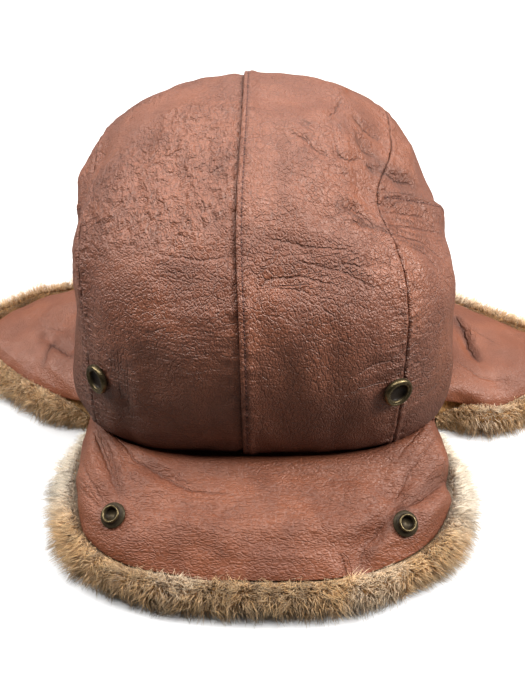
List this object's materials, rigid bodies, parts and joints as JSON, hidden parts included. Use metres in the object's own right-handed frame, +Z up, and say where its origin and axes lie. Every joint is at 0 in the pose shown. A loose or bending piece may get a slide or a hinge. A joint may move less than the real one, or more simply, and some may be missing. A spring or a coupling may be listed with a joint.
{
  "type": "bomber hat",
  "caption": "Leather bomber hat with a panelled crown, fur-backed front, ear and neck flaps lying flat, and brass snaps on crown and front flap.",
  "frame": {"origin": "middle of the hat's footprint, on the surface it lies on", "axes": "+Z up, the front of the hat towards -Y, +X to the right as seen from the front"},
  "size_m": [0.3742, 0.3194, 0.1555],
  "materials": {
    "leather": "creased, semi-gloss reddish-brown hide with pebbled grain",
    "fur": "dense short fur, golden tan with grey-brown roots and pale tips",
    "brass": "antique brass, dark in the hollows"
  },
  "bodies": {
    "root": {"crown_top_left": "leather", "crown_top_right": "leather", "ear_panel_left": "leather", "ear_panel_right": "leather", "back_panel_left": "leather", "back_panel_right": "leather", "front_flap": "leather", "ear_left_flap": "leather", "ear_right_flap": "leather", "neck_flap": "leather", "front_fur": "fur", "ear_left_fur": "fur", "ear_right_fur": "fur", "neck_fur": "fur", "socket_left": "brass", "socket_right": "brass", "stud_left": "brass", "stud_right": "brass"}
  },
  "joints": []
}
